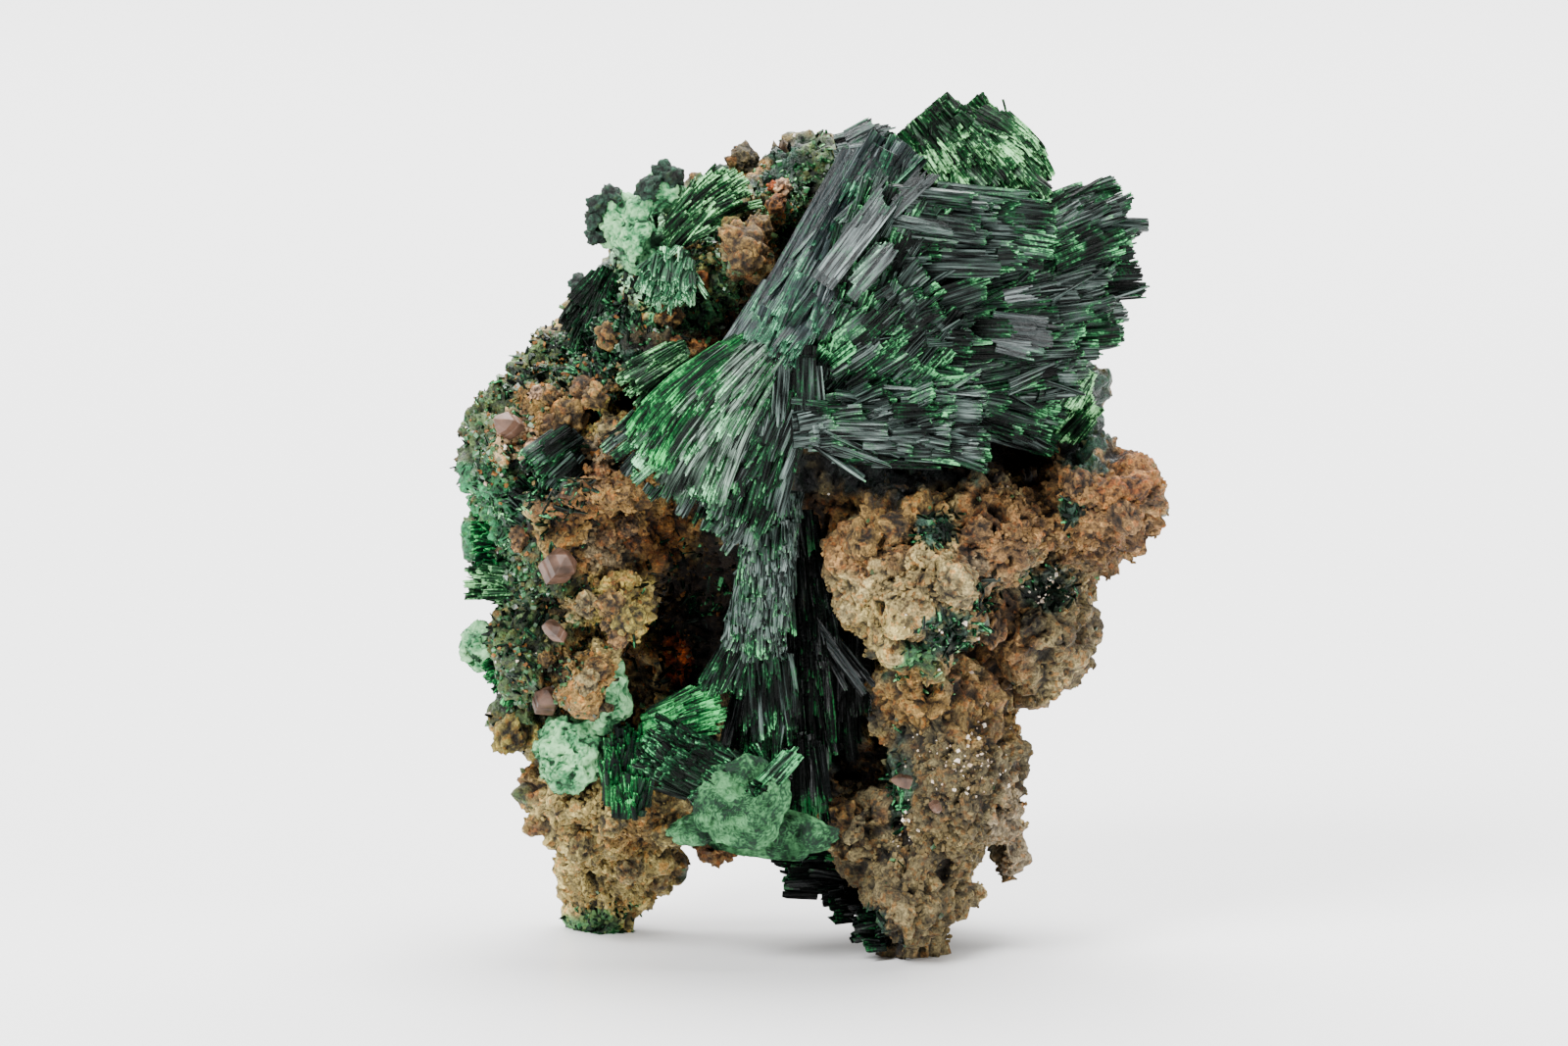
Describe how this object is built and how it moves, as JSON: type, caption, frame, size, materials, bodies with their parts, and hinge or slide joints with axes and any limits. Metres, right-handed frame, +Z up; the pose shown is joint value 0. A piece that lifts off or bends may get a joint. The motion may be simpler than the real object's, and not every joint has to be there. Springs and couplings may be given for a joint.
{
  "type": "szenicsite specimen",
  "caption": "Mineral specimen: sprays of dark green bladed szenicsite on a rough brown limonite matrix that stands on two feet, with pale green crusts and quartz.",
  "frame": {"origin": "on the ground, under the middle of the bounding box", "axes": "+Z up as the specimen stands on its two feet, -Y towards the viewer who sees the crystal sprays, +X to that viewer's right"},
  "size_m": [0.0728, 0.0458, 0.0886],
  "materials": {
    "dark_blade": "silky, striated, green-black crystal",
    "green_blade": "silky, fibrous, bright to grey green crystal",
    "pale_crust": "matt, flaky, mint green crust",
    "quartz": "cloudy, pinkish, waxy quartz",
    "matrix": "rough, granular limonite rock, ochre, rust and khaki"
  },
  "bodies": {
    "root": {"long_blade_fan": "dark_blade", "lower_blade": "dark_blade", "main_spray": "dark_blade", "top_left_blades": "dark_blade", "centre_sheaf": "dark_blade", "centre_fringe": "dark_blade", "hollow_sheaf": "dark_blade", "base_crystals": "dark_blade", "foot_crystal": "dark_blade", "left_plates": "dark_blade", "left_dark_plate": "dark_blade", "top_sheaf": "green_blade", "corner_crystals": "green_blade", "lower_green_fan": "green_blade", "lower_left_fan": "green_blade", "left_edge_blades": "green_blade", "left_ledge_blades": "green_blade", "left_low_blades": "green_blade", "slope_blades": "green_blade", "inner_fan": "green_blade", "upper_green_fan": "green_blade", "upper_slab": "green_blade", "top_crust": "pale_crust", "low_crust": "pale_crust", "side_crust": "pale_crust", "quartz_1": "quartz", "quartz_2": "quartz", "quartz_3": "quartz", "quartz_4": "quartz", "quartz_5": "quartz", "quartz_6": "quartz", "matrix": "matrix"}
  },
  "joints": []
}
